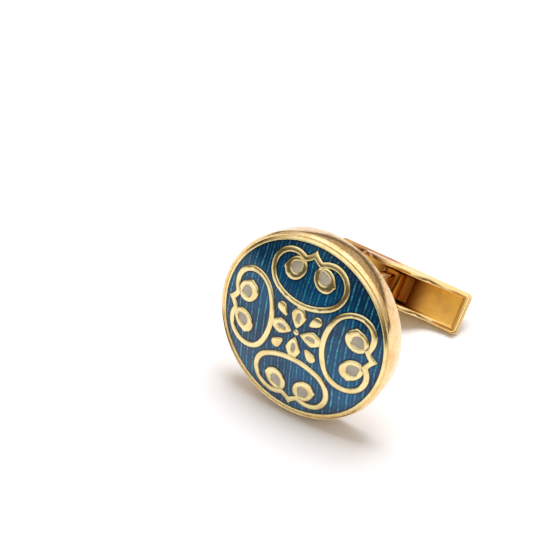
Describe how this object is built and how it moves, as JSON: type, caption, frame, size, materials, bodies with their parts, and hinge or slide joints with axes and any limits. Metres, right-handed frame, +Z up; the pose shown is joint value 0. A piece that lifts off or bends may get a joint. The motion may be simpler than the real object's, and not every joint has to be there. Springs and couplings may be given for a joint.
{
  "type": "cufflink",
  "caption": "Round gilt cufflink with a domed blue enamel face, gold scroll ornament, a curved stem and a hinged whale-back toggle that turns to pass through a shirt cuff.",
  "frame": {"origin": "on the surface that the part lies on, under the middle of its box", "axes": "+Z up, -Y towards the side that the domed face looks to, X along the toggle"},
  "size_m": [0.019, 0.0216, 0.0185],
  "materials": {
    "gilt_metal": "polished gilding",
    "gilt_mirror": "mirror gilding",
    "cloison_gold": "satin gilding",
    "engine_turned_gold": "engine-turned lines",
    "blue_enamel": "glossy vitreous enamel over engine-turned lines",
    "grey_enamel": "satin enamel",
    "gilt_spring": "gilded spring strip"
  },
  "bodies": {
    "head": {"bezel_rim": "gilt_metal", "stem": "gilt_metal", "back_plate": "gilt_mirror", "border_ring": "cloison_gold", "centre_bead": "cloison_gold", "scroll_wire_north": "cloison_gold", "petal_wire_north": "cloison_gold", "drop_wire_north": "cloison_gold", "bud_wire_right_north": "cloison_gold", "bud_wire_left_north": "cloison_gold", "scroll_wire_west": "cloison_gold", "petal_wire_west": "cloison_gold", "drop_wire_west": "cloison_gold", "bud_wire_right_west": "cloison_gold", "bud_wire_left_west": "cloison_gold", "scroll_wire_south": "cloison_gold", "petal_wire_south": "cloison_gold", "drop_wire_south": "cloison_gold", "bud_wire_right_south": "cloison_gold", "bud_wire_left_south": "cloison_gold", "scroll_wire_east": "cloison_gold", "petal_wire_east": "cloison_gold", "drop_wire_east": "cloison_gold", "bud_wire_right_east": "cloison_gold", "bud_wire_left_east": "cloison_gold", "ground_plate": "engine_turned_gold", "enamel_field": "blue_enamel", "enamel_cell_north": "blue_enamel", "enamel_cell_west": "blue_enamel", "enamel_cell_south": "blue_enamel", "enamel_cell_east": "blue_enamel", "petal_inlay_north": "grey_enamel", "bud_inlay_right_north": "grey_enamel", "bud_inlay_left_north": "grey_enamel", "petal_inlay_west": "grey_enamel", "bud_inlay_right_west": "grey_enamel", "bud_inlay_left_west": "grey_enamel", "petal_inlay_south": "grey_enamel", "bud_inlay_right_south": "grey_enamel", "bud_inlay_left_south": "grey_enamel", "petal_inlay_east": "grey_enamel", "bud_inlay_right_east": "grey_enamel", "bud_inlay_left_east": "grey_enamel"},
    "toggle": {"toggle_shell": "gilt_mirror", "hinge_pin": "gilt_metal", "leaf_spring": "gilt_spring"}
  },
  "joints": [
    {"name": "toggle_hinge", "type": "hinge", "parent": "head", "child": "toggle", "pos_m": [0, 0.0075, 0.00332], "axis": [0, 0.6851, 0.7284], "range_deg": [-90, 90]}
  ]
}
